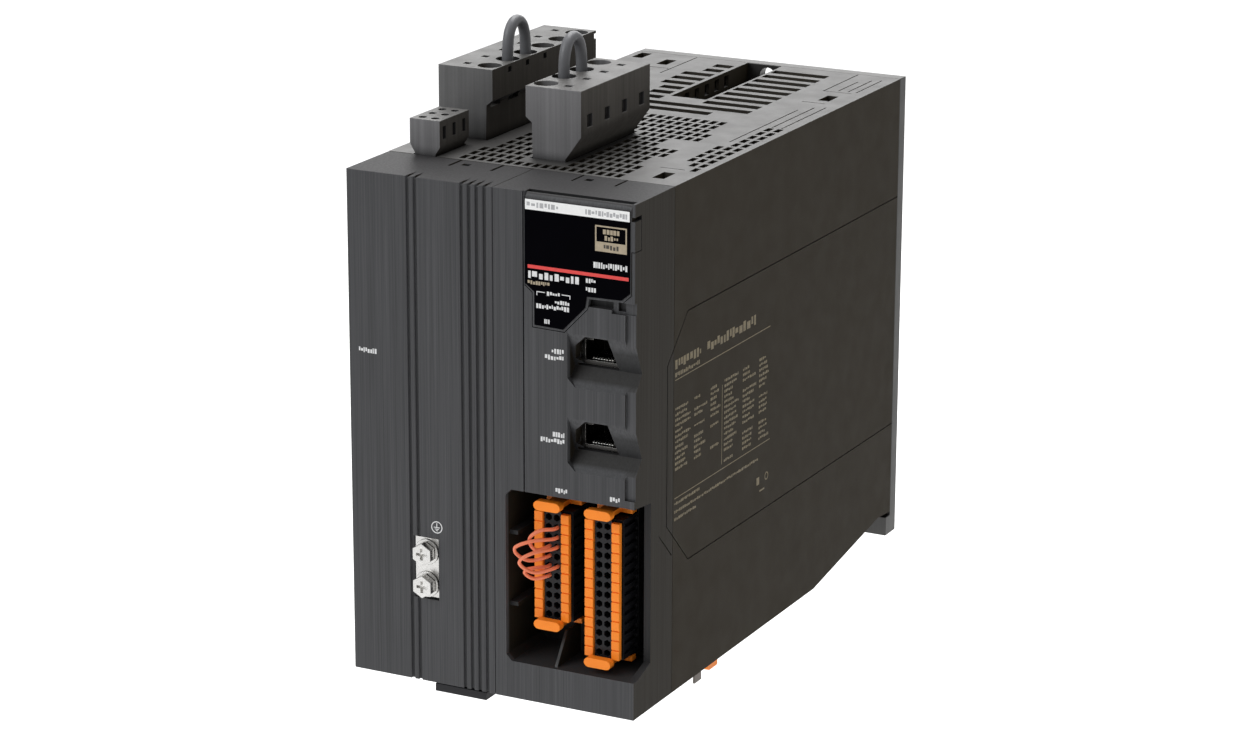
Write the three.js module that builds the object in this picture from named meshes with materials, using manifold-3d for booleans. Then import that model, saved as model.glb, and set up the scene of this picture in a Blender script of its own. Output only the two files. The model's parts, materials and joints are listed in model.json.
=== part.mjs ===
// Panel-mounted servo drive, built from separate sub-parts.
//
// Millimetres, +Z up. The front faces -Y and +X is to the right of someone who
// looks at the front. Heights are worked out from the underside of the case.
// At the end everything is lowered by half the case height, so the origin is the
// middle of the mounting plate's back face, which bears on the cabinet wall.
import * as THREE from 'three';
import { mergeVertices } from 'three/addons/utils/BufferGeometryUtils.js';
import Module from 'manifold-3d';

const wasm = await Module();
wasm.setup();

// ---------------------------------------------------------------- dimensions

const WIDTH = 110;
const HEIGHT = 180;
const DEPTH = 225;
const WALL = 2.5;
const GAP = 0.3;

const RIGHT = WIDTH / 2;
const LEFT = -RIGHT;
const FRONT = -DEPTH;
const INNER_RIGHT = RIGHT - WALL;
const INNER_TOP = HEIGHT - WALL;

const PLATE_THICKNESS = 5.5;
const PLATE_FRONT = -PLATE_THICKNESS;
const COVER_BACK = -196;
const HOUSING_FRONT = COVER_BACK + GAP;
const HOUSING_BACK = PLATE_FRONT - GAP;

// Seam between the power cover on the left and the control cover on the right.
const COVER_SEAM = 1.6;
const CONTROL_LEFT = COVER_SEAM + GAP;

// Recess for the signal connectors, open at the front and at the right side.
const RECESS = { left: 6, bottom: 13.4, top: 75.4, back: -199.5, sideBack: -212.5 };

// Network ports, one above the other. Each sits in a V-shaped notch that opens
// to the front and to the right side, and its height is that of the notch's root.
const PORT_X = 38.8;
const PORT_ROOTS = { upper: 121, lower: 91.5 };
const PORT_NOTCH = { left: 29.8, depth: 5.6, rise: 12.6, fall: 6.4 };
const JACK = { halfWidth: 7.4, rise: 11.2, face: -217.6, back: -200 };

// Signal plugs: two columns of clamps at a 3.5 mm pitch.
const SIGNAL_PITCH = 3.5;
const SIGNAL_TOP = 67.4;
const SIGNAL_FACE = -219;
const SIGNAL_PLUGS = { left: { x: 21, rows: 11 }, right: { x: 40.3, rows: 14 } };

// Power plugs on top of the case: one pole every 13 mm.
const POWER_PITCH = 13;
const POWER_TOP = 205;
const NECK_BOTTOM = 172;
const WIRE_HOLE_RADIUS = 4.25;
const WIRE_HOLE_DEPTH = 14;
const LINK_RADIUS = 2.1;

// Hinge of the display door.
const DOOR_HINGE = { y: -223.2, z: 178 };
const DOOR_FLOOR = -222.2;

// Cooling fan under the heat sink.
const FAN = { x: 0, y: -35.8, bottom: 14, size: 59.4, height: 15, bore: 27.6 };

// ----------------------------------------------------------------- materials

function material(color, roughness, metalness) {
  return new THREE.MeshStandardMaterial({ color, roughness, metalness });
}

const caseFront = material(0x4a4b4f, 0.55, 0.1);
const caseBody = material(0x4b4741, 0.7, 0.05);
const plugPlastic = material(0x57544f, 0.65, 0);
const blackPlastic = material(0x1c1c1e, 0.5, 0);
const doorGloss = material(0x08080a, 0.12, 0);
const orangePlastic = material(0xf58220, 0.45, 0);
const jumperRed = material(0xd9542b, 0.5, 0);
const linkGrey = material(0x70747a, 0.5, 0);
const aluminium = material(0xb9bbbd, 0.4, 0.9);
const brightSteel = material(0xd8d9da, 0.25, 1);
const boardGreen = material(0x1f5a36, 0.6, 0.1);
const sleeveBlack = material(0x26282c, 0.45, 0.1);
const moduleBlack = material(0x222326, 0.5, 0);

// ------------------------------------------------------------------- shaping

function solid(geometry) {
  const bare = geometry.clone();
  bare.deleteAttribute('normal');
  bare.deleteAttribute('uv');
  const merged = mergeVertices(bare, 1e-5);
  const mesh = new wasm.Mesh({
    numProp: 3,
    vertProperties: new Float32Array(merged.attributes.position.array),
    triVerts: new Uint32Array(merged.index.array),
  });
  return new wasm.Manifold(mesh);
}

function join(...pieces) {
  return pieces.reduce((whole, piece) => whole.add(piece));
}

function cut(base, ...tools) {
  return tools.length ? base.subtract(join(...tools)) : base;
}

function block(x0, x1, y0, y1, z0, z1) {
  const box = new THREE.BoxGeometry(x1 - x0, y1 - y0, z1 - z0);
  box.translate((x0 + x1) / 2, (y0 + y1) / 2, (z0 + z1) / 2);
  return solid(box);
}

function outline(points) {
  return new THREE.Shape(points.map(([u, v]) => new THREE.Vector2(u, v)));
}

function extrude(points, depth) {
  return new THREE.ExtrudeGeometry(outline(points), { depth, bevelEnabled: false });
}

// Prism with an outline in Y and Z.
function prismX(points, x0, x1) {
  const turn = new THREE.Matrix4().makeBasis(
    new THREE.Vector3(0, 1, 0),
    new THREE.Vector3(0, 0, 1),
    new THREE.Vector3(1, 0, 0),
  );
  return solid(extrude(points, x1 - x0).applyMatrix4(turn).translate(x0, 0, 0));
}

// Prism with an outline in X and Z.
function prismY(points, y0, y1) {
  return solid(extrude(points, y1 - y0).rotateX(Math.PI / 2).translate(0, y1, 0));
}

function rodX(x0, x1, y, z, radius, sides) {
  const rod = new THREE.CylinderGeometry(radius, radius, x1 - x0, sides);
  return solid(rod.rotateZ(Math.PI / 2).translate((x0 + x1) / 2, y, z));
}

function rodY(x, y0, y1, z, radius, sides) {
  const rod = new THREE.CylinderGeometry(radius, radius, y1 - y0, sides);
  return solid(rod.translate(x, (y0 + y1) / 2, z));
}

function rodZ(x, y, z0, z1, radius, sides) {
  const rod = new THREE.CylinderGeometry(radius, radius, z1 - z0, sides);
  return solid(rod.rotateX(Math.PI / 2).translate(x, y, (z0 + z1) / 2));
}

// Round wire along a smooth curve through the given points.
function wire(points, radius, sides, steps) {
  const section = new THREE.Shape();
  section.absarc(0, 0, radius, 0, 2 * Math.PI);
  const extrudePath = new THREE.CatmullRomCurve3(points.map((p) => new THREE.Vector3(...p)));
  const settings = { steps, curveSegments: sides / 2, bevelEnabled: false, extrudePath };
  return solid(new THREE.ExtrudeGeometry(section, settings));
}

function times(count, make) {
  return Array.from({ length: count }, (_, index) => make(index));
}

// ---------------------------------------------------------------- collecting

const drive = new THREE.Group();

function add(name, shape, look) {
  const { vertProperties, triVerts } = shape.getMesh();
  const geometry = new THREE.BufferGeometry();
  geometry.setAttribute('position', new THREE.BufferAttribute(new Float32Array(vertProperties), 3));
  geometry.setIndex(new THREE.BufferAttribute(new Uint32Array(triVerts), 1));
  geometry.translate(0, 0, -HEIGHT / 2);
  geometry.computeVertexNormals();
  const mesh = new THREE.Mesh(geometry, look);
  mesh.name = name;
  drive.add(mesh);
}

// ------------------------------------------------------------ mounting plate

const PLATE_FOOT = { front: -9.3, top: 7.5 };
const NOTCH = { width: 6, height: 9, places: [-36, 36] };
const TOP_HOLE = { x: 0, z: 175.5, radius: 3.25 };
const PLATE_SCREWS = [[-46, 24], [46, 24], [-46, 160], [46, 160]];
const SCREW = { headRadius: 3.4, headBack: -0.4, headFront: -2.7, shankRadius: 1.5 };
const SCREW_SEAT = -3;
const SCREW_PLAY = 0.4;

function mountingPlate() {
  const plate = block(LEFT, RIGHT, PLATE_FRONT, 0, 0, HEIGHT);
  const foot = block(LEFT, RIGHT, PLATE_FOOT.front, PLATE_FRONT + 1, 0, PLATE_FOOT.top);
  const topHole = rodY(TOP_HOLE.x, PLATE_FRONT - 1, 1, TOP_HOLE.z, TOP_HOLE.radius, 16);
  const notches = NOTCH.places.map((x) =>
    block(x - NOTCH.width / 2, x + NOTCH.width / 2, PLATE_FOOT.front - 1, 1, -1, NOTCH.height));
  const headHoles = PLATE_SCREWS.map(([x, z]) =>
    rodY(x, SCREW_SEAT, 1, z, SCREW.headRadius + SCREW_PLAY, 12));
  const shankHoles = PLATE_SCREWS.map(([x, z]) =>
    rodY(x, PLATE_FRONT - 1, 0, z, SCREW.shankRadius + SCREW_PLAY, 8));
  return cut(join(plate, foot), topHole, ...notches, ...headHoles, ...shankHoles);
}

// Two crossed slots for a screwdriver, cut into a head that faces along Y.
function crossRecess(x, z, y0, y1, reach, width) {
  return [
    block(x - width / 2, x + width / 2, y0, y1, z - reach, z + reach),
    block(x - reach, x + reach, y0, y1, z - width / 2, z + width / 2),
  ];
}

// Screw that holds the case to the plate from behind.
function plateScrew([x, z]) {
  const head = rodY(x, SCREW.headFront, SCREW.headBack, z, SCREW.headRadius, 12);
  const shank = rodY(x, PLATE_FRONT - 0.2, SCREW.headFront + 0.2, z, SCREW.shankRadius, 8);
  return cut(join(head, shank), ...crossRecess(x, z, -1.6, 0, 2, 0.8));
}

add('mounting_plate', mountingPlate(), aluminium);
const screwNames = ['lower_left', 'lower_right', 'upper_left', 'upper_right'];
PLATE_SCREWS.forEach((place, index) => {
  add(`plate_screw_${screwNames[index]}`, plateScrew(place), brightSteel);
});

// ------------------------------------------------- heat sink, module and fan

const POWER_MODULE = { halfWidth: 30, front: -74, bottom: 60, top: 112 };
const SINK = { left: -50, right: 50, front: -62, baseBack: -56, bottom: 31, top: 171, fins: 13, fin: 2.2 };

function heatSink() {
  const base = block(SINK.left, SINK.right, SINK.front, SINK.baseBack, SINK.bottom, SINK.top);
  const pitch = (SINK.right - SINK.left - SINK.fin) / (SINK.fins - 1);
  const fins = times(SINK.fins, (index) => {
    const x = SINK.left + index * pitch;
    return block(x, x + SINK.fin, SINK.baseBack - 1, HOUSING_BACK, SINK.bottom, SINK.top);
  });
  return join(base, ...fins);
}

const HUB = { radius: 11, height: 11, plate: 2, strut: 3 };
const BLADE = { count: 7, length: 17, width: 11, thickness: 1.2, pitch: 0.6, middle: 17.8 };

function fanFrame() {
  const half = FAN.size / 2;
  const top = FAN.bottom + FAN.height;
  const plateTop = FAN.bottom + HUB.plate;
  const frame = block(FAN.x - half, FAN.x + half, FAN.y - half, FAN.y + half, FAN.bottom, top);
  const bore = rodZ(FAN.x, FAN.y, FAN.bottom - 1, top + 1, FAN.bore, 24);
  const hubPlate = rodZ(FAN.x, FAN.y, FAN.bottom, plateTop, HUB.radius, 16);
  const reach = half - 1;
  const strut = HUB.strut / 2;
  const struts = [
    block(FAN.x - strut, FAN.x + strut, FAN.y - reach, FAN.y + reach, FAN.bottom, plateTop),
    block(FAN.x - reach, FAN.x + reach, FAN.y - strut, FAN.y + strut, FAN.bottom, plateTop),
  ];
  return join(cut(frame, bore), hubPlate, ...struts);
}

function fanRotor() {
  const bottom = FAN.bottom + HUB.plate + 0.4;
  const hub = rodZ(FAN.x, FAN.y, bottom, bottom + HUB.height, HUB.radius, 16);
  const blades = times(BLADE.count, (index) => {
    const blade = new THREE.BoxGeometry(BLADE.length, BLADE.width, BLADE.thickness);
    blade.rotateX(BLADE.pitch).translate(BLADE.middle, 0, 0);
    blade.rotateZ((index * 2 * Math.PI) / BLADE.count);
    return solid(blade.translate(FAN.x, FAN.y, bottom + HUB.height / 2));
  });
  return join(hub, ...blades);
}

add('heat_sink', heatSink(), aluminium);
const { halfWidth: moduleHalf, front: moduleFront, bottom: moduleBottom, top: moduleTop } = POWER_MODULE;
const powerModule = block(-moduleHalf, moduleHalf, moduleFront, SINK.front - GAP, moduleBottom, moduleTop);
add('power_module', powerModule, moduleBlack);
add('fan_frame', fanFrame(), blackPlastic);
add('fan_rotor', fanRotor(), sleeveBlack);

// ------------------------------------------------------------------- housing

// Underside of the case seen from the side: flat, then rising to the foot.
const UNDERSIDE = [[HOUSING_FRONT, 0], [-77, 0], [-26.5, 8.2], [-17.5, 9.8], [HOUSING_BACK, 9]];

const POWER_OPENINGS = {
  supply: { x0: -47.2, x1: -32.6, y0: -166.3, y1: -87.2 },
  brake: { x0: -7.1, x1: 7.3, y0: -182.7, y1: -129.3 },
  control: { x0: -45.4, x1: -36.2, y0: -195.7, y1: -174.3 },
};

function topCut(x0, x1, y0, y1) {
  return block(x0, x1, y0, y1, INNER_TOP - 1, HEIGHT + 1);
}

const SLOT = { width: 2.3, length: 5, pitchX: 3.5, pitchY: 6.65 };
const MESH = { left: -27.6, back: -104.7, columns: 18, rows: 14 };
const PLUG_RIM = { side: 1.8, end: 3.2 };

// Solid patches in the mesh: rows counted from the back, columns from the left.
const MESH_PATCHES = [
  { columns: [15, 17], rows: [5, 6] },
  { columns: [17, 17], rows: [0, 2] },
  { columns: [17, 17], rows: [9, 10] },
  { columns: [0, 0], rows: [0, 10] },
];

// One slot of a grid, given by its middle.
function gridSlot(x, y) {
  return topCut(x - SLOT.width / 2, x + SLOT.width / 2, y - SLOT.length / 2, y + SLOT.length / 2);
}

function within(value, [first, last]) {
  return value >= first && value <= last;
}

// Slots in straight columns, left out round the brake plug and at the patches.
function meshSlots() {
  const { x0, x1, y0, y1 } = POWER_OPENINGS.brake;
  const { side, end } = PLUG_RIM;
  const slots = [];
  for (let column = 0; column < MESH.columns; column += 1) {
    const x = MESH.left + column * SLOT.pitchX;
    for (let row = 0; row < MESH.rows; row += 1) {
      const y = MESH.back - row * SLOT.pitchY;
      const atPlug = within(x, [x0 - side, x1 + side]) && within(y, [y0 - end, y1 + end]);
      const atPatch = MESH_PATCHES.some((patch) => within(column, patch.columns) && within(row, patch.rows));
      if (!atPlug && !atPatch) {
        slots.push(gridSlot(x, y));
      }
    }
  }
  return slots;
}

// Three columns of slots along the right margin, each with its first and last row.
const MARGIN = { back: -105.7, columns: [[43.4, 5, 8], [47.15, 0, 9], [50.9, 0, 10]] };

function marginSlots() {
  return MARGIN.columns.flatMap(([x, first, last]) =>
    times(last - first + 1, (index) => gridSlot(x, MARGIN.back - (first + index) * SLOT.pitchY)));
}

// Screwdriver channel that leads to the plate's top hole, sunk into the case's
// top. Its floor rises to the top at the front, and it is open at the back.
const CHANNEL = { left: -8, right: 6.3, floor: 172.6, rampBack: -58, rampTop: 179, front: -72, skin: 1.2 };

// Wide slots over the heat sink. The channel splits the first eight rows.
const VENT = { back: -16.3, pitch: 8.45, width: 4.9, rows: 10, splitRows: 8, right: 29.7, lastRight: 17.8 };
const VENT_LEFT = { first: -17.1, middle: -22.2, last: -18.7 };

function ventSlots() {
  return times(VENT.rows, (row) => {
    const y0 = VENT.back - row * VENT.pitch - VENT.width / 2;
    const y1 = y0 + VENT.width;
    const side = row < 2 ? 'first' : 'last';
    const left = VENT_LEFT[within(row, [2, 4]) ? 'middle' : side];
    const right = row === VENT.rows - 1 ? VENT.lastRight : VENT.right;
    return row < VENT.splitRows
      ? join(topCut(left, CHANNEL.left - 1.8, y0, y1), topCut(CHANNEL.right + 1.1, right, y0, y1))
      : topCut(left, right, y0, y1);
  });
}

// The channel's outline, lowered and lengthened by a margin.
function channelPrism(x0, x1, margin, back, top) {
  const { floor, rampBack, front, rampTop } = CHANNEL;
  return prismX([
    [back, floor - margin], [back, top], [front - margin, top], [front - margin, rampTop - margin],
    [rampBack, floor - margin],
  ], x0, x1);
}

function channelSkin() {
  const { left, right, skin } = CHANNEL;
  return channelPrism(left - skin, right + skin, skin, HOUSING_BACK, INNER_TOP + 1);
}

// Openings in the channel's left wall, level with the vent slots beside it.
function channelWindows() {
  return times(6, (index) => {
    const y = VENT.back - (index + 1) * VENT.pitch;
    const { left, floor } = CHANNEL;
    return block(left - 1.6, left + 1, y - 1.9, y + 1.9, floor + 1.6, HEIGHT - 1.4);
  });
}

const CLIP_HOLE = { width: 4.4, length: 9, places: [[44.9, -184], [45, -49.2], [-36, -19.5], [-50, -12.5]] };

// Fine engraved lines that frame the clip holes and the margin slots, each
// given by its two ends.
const ENGRAVED = { width: 0.5, depth: 0.35 };
const TOP_LINES = [
  [[38.1, -38], [38.1, -6.5]], [[38.1, -38], [49, -38]], [[38.5, -58], [47.3, -58]],
  [[43.1, -129], [43.1, -72]], [[46.9, -102], [46.9, -66]], [[50.6, -102], [50.6, -64]],
  [[43.1, -35.5], [43.1, -18]], [[46.9, -35.5], [46.9, -14]], [[50.2, -35.5], [50.2, -12]],
  [[38.7, -173.8], [47.5, -173.8]], [[-29.4, -38], [-29.4, -6.5]], [[-38.6, -29.4], [-30.4, -29.4]],
];

function topLine([[x0, y0], [x1, y1]]) {
  const half = ENGRAVED.width / 2;
  return block(x0 - half, x1 + half, y0 - half, y1 + half, HEIGHT - ENGRAVED.depth, HEIGHT + 1);
}

// Fine lines engraved in the side, each running through its points: they mark
// off a six-sided field, with a short line beside its lower corner.
const SIDE_LINE = { width: 0.5, depth: 0.4 };
const SIDE_LINES = [
  [
    [HOUSING_BACK + 1, 134.6], [-185.3, 134.6], [-200.6, 118.9], [-200.6, 61.9],
    [-184, 45.3], [HOUSING_BACK + 1, 44.9],
  ],
  [[-206.3, 60.1], [-196.9, 50.8]],
];

// Straight stretch of an engraved side line, half its width longer at each end.
function sideStretch([y0, z0], [y1, z1]) {
  const length = Math.hypot(y1 - y0, z1 - z0);
  const alongY = (SIDE_LINE.width / 2 / length) * (y1 - y0);
  const alongZ = (SIDE_LINE.width / 2 / length) * (z1 - z0);
  return prismX([
    [y0 - alongY + alongZ, z0 - alongZ - alongY], [y0 - alongY - alongZ, z0 - alongZ + alongY],
    [y1 + alongY - alongZ, z1 + alongZ + alongY], [y1 + alongY + alongZ, z1 + alongZ - alongY],
  ], RIGHT - SIDE_LINE.depth, RIGHT + 1);
}

function sideLines() {
  return join(...SIDE_LINES.flatMap((points) =>
    points.slice(1).map((point, index) => sideStretch(points[index], point))));
}

function mainHousing() {
  const side = [...UNDERSIDE, [HOUSING_BACK, HEIGHT], [HOUSING_FRONT, HEIGHT]];
  const shell = prismX(side, LEFT, RIGHT);
  const hollow = block(-INNER_RIGHT, INNER_RIGHT, HOUSING_FRONT - 1, HOUSING_BACK + 1, -1, INNER_TOP);
  const channel = channelPrism(CHANNEL.left, CHANNEL.right, 0, 1, HEIGHT + 1);
  const tray = cut(join(cut(shell, hollow), channelSkin()), channel, ...channelWindows());
  const plugs = Object.values(POWER_OPENINGS).map(({ x0, x1, y0, y1 }) => topCut(x0, x1, y0, y1));
  const clips = CLIP_HOLE.places.map(([x, y]) => {
    const { width, length } = CLIP_HOLE;
    return topCut(x - width / 2, x + width / 2, y - length / 2, y + length / 2);
  });
  const pierced = cut(tray, ...plugs, ...clips, ...meshSlots(), ...marginSlots(), ...ventSlots());
  return cut(pierced, ...TOP_LINES.map(topLine), sideLines());
}

const INTAKE = { count: 8, left: -26, pitch: 7, width: 3.5, front: -60, back: -16 };

function bottomCover() {
  const inner = UNDERSIDE.map(([y, z]) => [y, z + WALL]).reverse();
  const sheet = prismX([...UNDERSIDE, ...inner], -INNER_RIGHT + GAP, INNER_RIGHT - GAP);
  const intake = times(INTAKE.count, (index) => {
    const x = INTAKE.left + index * INTAKE.pitch;
    return block(x, x + INTAKE.width, INTAKE.front, INTAKE.back, -1, 16);
  });
  const motorOpening = block(35.2, 51.2, -168, -145, -1, 5);
  return cut(sheet, ...intake, motorOpening);
}

add('main_housing', mainHousing(), caseBody);
add('bottom_cover', bottomCover(), caseBody);

// --------------------------------------------------------- power front cover

const GROOVE = { width: 1.2, depth: 1, run: 7.5 };
const GROOVES = [-31, -28.1, -10.2, -7.3, -4.4, -1.4];
const EARTH = { left: -30.4, right: -20.4, bottom: 30.6, top: 52.8, x: -25.4 };
const EARTH_SCREWS = { upper: 47.4, lower: 35.6 };
const EARTH_SCREW = { headRadius: 4, headHeight: 3, shankRadius: 1.95, holeRadius: 2.3, length: 7 };
const WASHER = { radius: 4.6, holeRadius: 2.25, front: FRONT + 0.2, back: FRONT + 0.9 };

// Springy tab at the back of a cover's top: two slits with a window between them.
const TAB = { width: 16.3, slit: 0.9, front: -205, window: 5.2, windowSize: 2.8, windowFront: -202.7 };

function snapTab(left) {
  const slit = (x) => topCut(x, x + TAB.slit, TAB.front, COVER_BACK + 1);
  const x = left + TAB.window;
  const half = TAB.windowSize / 2;
  const window = topCut(x - half, x + half, TAB.windowFront, TAB.windowFront + TAB.windowSize);
  return [slit(left), slit(left + TAB.width), window];
}

// Upright groove in the front that runs out over the cover's top edge.
function groove(x) {
  const { width, depth, run } = GROOVE;
  const upright = block(x - width / 2, x + width / 2, FRONT - 1, FRONT + depth, -1, HEIGHT + 1);
  const runOut = prismX([
    [FRONT - 1, HEIGHT - depth], [FRONT, HEIGHT - depth], [FRONT + run, HEIGHT], [FRONT + run, HEIGHT + 1],
    [FRONT - 1, HEIGHT + 1],
  ], x - width / 2, x + width / 2);
  return join(upright, runOut);
}

function powerFrontCover() {
  const shell = cut(
    block(LEFT, COVER_SEAM, FRONT, COVER_BACK, 0, HEIGHT),
    block(LEFT + WALL, COVER_SEAM + 1, FRONT + WALL, COVER_BACK + 1, WALL, INNER_TOP),
  );
  const earthWindow = block(EARTH.left, EARTH.right, FRONT - 1, FRONT + WALL + 1, EARTH.bottom, EARTH.top);
  const cornerTurn = block(LEFT - 1, LEFT + 0.5, FRONT - 1, FRONT + 0.5, -1, HEIGHT + 1);
  return cut(shell, ...GROOVES.map(groove), earthWindow, cornerTurn, ...snapTab(-26.6));
}

// Plate behind the window, with a raised pad that the ring lugs lie on.
function earthPlate() {
  const { left, right, bottom, top, x } = EARTH;
  const inside = FRONT + WALL + GAP;
  const back = inside + 2.5;
  const base = block(left - 2, right + 2, inside, back, bottom - 2, top + 2);
  const pad = block(left + GAP, right - GAP, FRONT + 1.2, inside + 1, bottom + GAP, top - GAP);
  const tapped = Object.values(EARTH_SCREWS).map((z) =>
    rodY(x, FRONT, back + 1, z, EARTH_SCREW.holeRadius, 12));
  return cut(join(base, pad), ...tapped);
}

// Hexagon screw with a cross recess.
function earthScrew(z) {
  const { headRadius, headHeight, shankRadius, length } = EARTH_SCREW;
  const headBack = FRONT - 0.1;
  const headFront = headBack - headHeight;
  const head = rodY(EARTH.x, headFront, headBack, z, headRadius, 6);
  const shank = rodY(EARTH.x, headBack - 0.4, FRONT + length, z, shankRadius, 12);
  return cut(join(head, shank), ...crossRecess(EARTH.x, z, headFront - 1, headFront + 1.4, 2.1, 1));
}

function earthWasher(z) {
  const { radius, holeRadius, front, back } = WASHER;
  const ring = rodY(EARTH.x, front, back, z, radius, 20);
  return cut(ring, rodY(EARTH.x, front - 1, back + 1, z, holeRadius, 12));
}

const GUIDE_LIP = { left: -22.3, right: -2.1, front: FRONT + 0.2, back: FRONT + 24, bottom: -3.1 };

add('power_front_cover', powerFrontCover(), caseFront);
add('earth_terminal_plate', earthPlate(), brightSteel);
for (const [place, z] of Object.entries(EARTH_SCREWS)) {
  add(`earth_screw_${place}`, earthScrew(z), brightSteel);
  add(`earth_washer_${place}`, earthWasher(z), brightSteel);
}
const { left: lipLeft, right: lipRight, front: lipFront, back: lipBack, bottom: lipBottom } = GUIDE_LIP;
add('cable_guide_lip', block(lipLeft, lipRight, lipFront, lipBack, lipBottom, -GAP), blackPlastic);

// ------------------------------------------------------- control front cover

const DOOR_OUTLINE = [
  [14.1, DOOR_HINGE.z], [14.1, 148], [16.8, 145.8], [16.8, 133.9], [28.7, 133.6],
  [37.4, 142.6], [37.9, 146.1], [50.5, 146.4], [53.6, 149.2], [53.6, DOOR_HINGE.z],
];
const DOOR_POCKET = [
  [13.8, HEIGHT + 1], [13.8, 147.85], [16.5, 145.65], [16.5, 133.6], [28.8, 133.3],
  [37.7, 142.5], [38.15, 145.8], [50.6, 146.1], [53.9, 149.05], [53.9, HEIGHT + 1],
];
const DOOR_BACK = DOOR_FLOOR - 0.5;

// Printed film on the door, set in from the door's lower edges.
const FILM_OUTLINE = [
  [14.2, 177.7], [14.2, 148.6], [17.6, 146.1], [17.6, 134.7], [28.4, 134.4],
  [36.6, 142.9], [37.2, 146.9], [50.2, 147.2], [53.2, 149.8], [53.2, 177.7],
];
const FILM = { front: FRONT - 0.35, back: FRONT - 0.05 };

// The door's barrel lies in a trough along the cover's top edge.
const HINGE = { left: 14.1, right: 53.6, pinRadius: 0.6, boreRadius: 0.9, barrelRadius: 1.6, play: 0.4 };

// Ear at the door's right side that wraps round the case's corner.
const EAR = { bottom: 164, top: 174.2, swing: 1.5, back: -220.6, side: 53.6 };
const DISPLAY_WINDOW = { left: 17.6, right: 34, bottom: 157, top: 170 };
const SWITCH_X = 43;
const SWITCH_HEIGHTS = { upper: 167, lower: 156 };
const SWITCH = { radius: 3.1, holeRadius: 3.5, front: -222.1, back: -220.2, slot: 2.2, slotWidth: 0.8 };
const SERVICE = { x: 22.8, z: 139.5, width: 8, height: 3.6 };

// The notch's upper face slopes in gently and holds the jack's window, and the
// lower face is a short ramp. The lower left corner is cut off at a slant.
function portNotch(root) {
  const { left, depth, rise, fall } = PORT_NOTCH;
  const corner = 3.2;
  const wedge = prismX([
    [FRONT - 1, root - fall - 1], [FRONT, root - fall], [FRONT + depth, root], [FRONT, root + rise],
    [FRONT - 1, root + rise + 2],
  ], left, RIGHT + 1);
  const slant = prismY([
    [left - 1, root - fall + corner + 1], [left - 1, root - fall - 3], [left + corner + 3, root - fall - 3],
  ], FRONT - 2, FRONT + depth);
  return cut(wedge, slant);
}

// Seven-sided window in the notch, and the room behind it for the jack and the
// shoulder of the plug that lies on the jack's face.
const PLUG_SHOULDER = 2.3;

function jackWindow(root) {
  const half = JACK.halfWidth + GAP;
  const bottom = root + 0.1;
  const top = root + JACK.rise + 2 * GAP;
  const room = block(PORT_X - half, PORT_X + half, JACK.face - PLUG_SHOULDER, JACK.back, bottom, top);
  const window = prismY([
    [36.5, bottom], [46.5, bottom], [45.6, root + 6], [44.8, top],
    [36.2, top], [31.9, root + 8], [30.6, root + 2.6],
  ], FRONT, JACK.face);
  return join(room, window);
}

function portSleeve(root) {
  return block(27.8, INNER_RIGHT + 1, FRONT + 1, JACK.face + 3, root - 8.6, root + 15);
}

function doorPocket() {
  const { y, z } = DOOR_HINGE;
  const bottom = EAR.bottom - GAP;
  const top = EAR.top + EAR.swing;
  const reach = HINGE.barrelRadius + HINGE.play;
  const pocket = prismY(DOOR_POCKET, FRONT - 1, DOOR_FLOOR);
  const trough = block(HINGE.left - GAP, HINGE.right + GAP, FRONT - 1, y + reach, z - reach, HEIGHT + 1);
  const plateEar = block(EAR.side - 1, RIGHT + 1, FRONT - 1, DOOR_FLOOR, bottom, top);
  const sideEar = block(EAR.side - GAP, RIGHT + 1, FRONT - 1, EAR.back + GAP, bottom, top);
  return [pocket, trough, plateEar, sideEar];
}

// Room for a fingertip under the door's lower edge, with a step in its middle.
function fingerCatch() {
  return [
    block(37.8, 46.4, FRONT - 1, DOOR_FLOOR, 143.4, 146.4),
    block(46.3, RIGHT + 1, FRONT - 1, FRONT + 1.4, 142.2, 146.4),
    block(48.2, 51, FRONT - 1, DOOR_FLOOR, 143, 146.4),
  ];
}

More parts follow.
